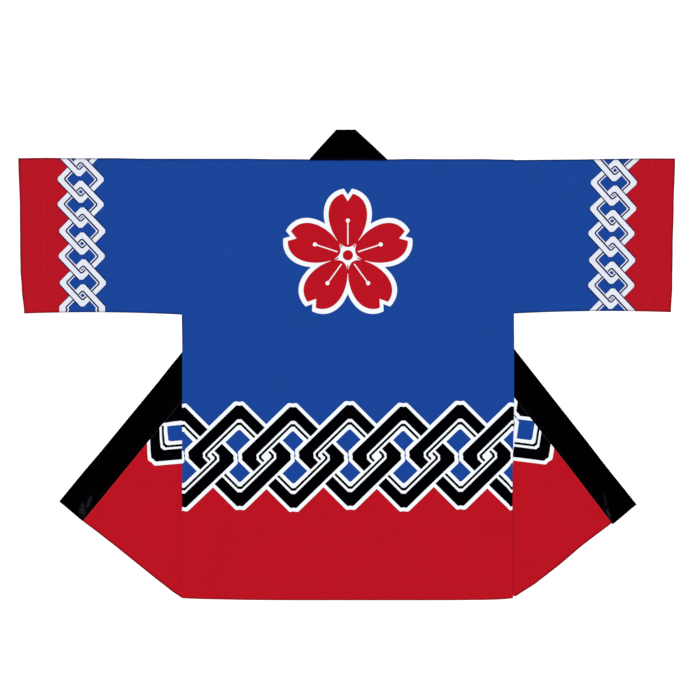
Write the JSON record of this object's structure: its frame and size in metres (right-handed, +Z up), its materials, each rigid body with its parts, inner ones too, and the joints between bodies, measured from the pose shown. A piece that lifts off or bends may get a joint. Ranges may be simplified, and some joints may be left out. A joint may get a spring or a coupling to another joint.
{
  "type": "happi coat",
  "caption": "Short open-fronted festival coat with straight sleeves and a band collar, laid flat with its back up and both fronts folded outward beneath it.",
  "frame": {"origin": "under the middle of the coat's bounding box, on the surface that it lies on", "axes": "+X from cuff to cuff towards the picture's right, +Y from the hem to the collar, +Z up from the surface, out of the back's outer face"},
  "size_m": [1.2166, 0.8722, 0.0051],
  "materials": {
    "back_cotton": "matt printed cotton, royal blue over scarlet with a large interlaced link band",
    "front_left_cotton": "matt printed cotton, scarlet hem and royal blue with a large interlaced link band",
    "front_right_cotton": "matt printed cotton, scarlet hem and royal blue with a large interlaced link band",
    "sleeve_left_cotton": "matt printed cotton, royal blue with a small interlaced link band and a scarlet cuff",
    "sleeve_right_cotton": "matt printed cotton, royal blue with a small interlaced link band and a scarlet cuff",
    "collar_cotton": "matt blue-black cotton"
  },
  "bodies": {
    "root": {"back": "back_cotton", "front_left": "front_left_cotton", "front_right": "front_right_cotton", "sleeve_left": "sleeve_left_cotton", "sleeve_right": "sleeve_right_cotton", "collar": "collar_cotton"}
  },
  "joints": []
}
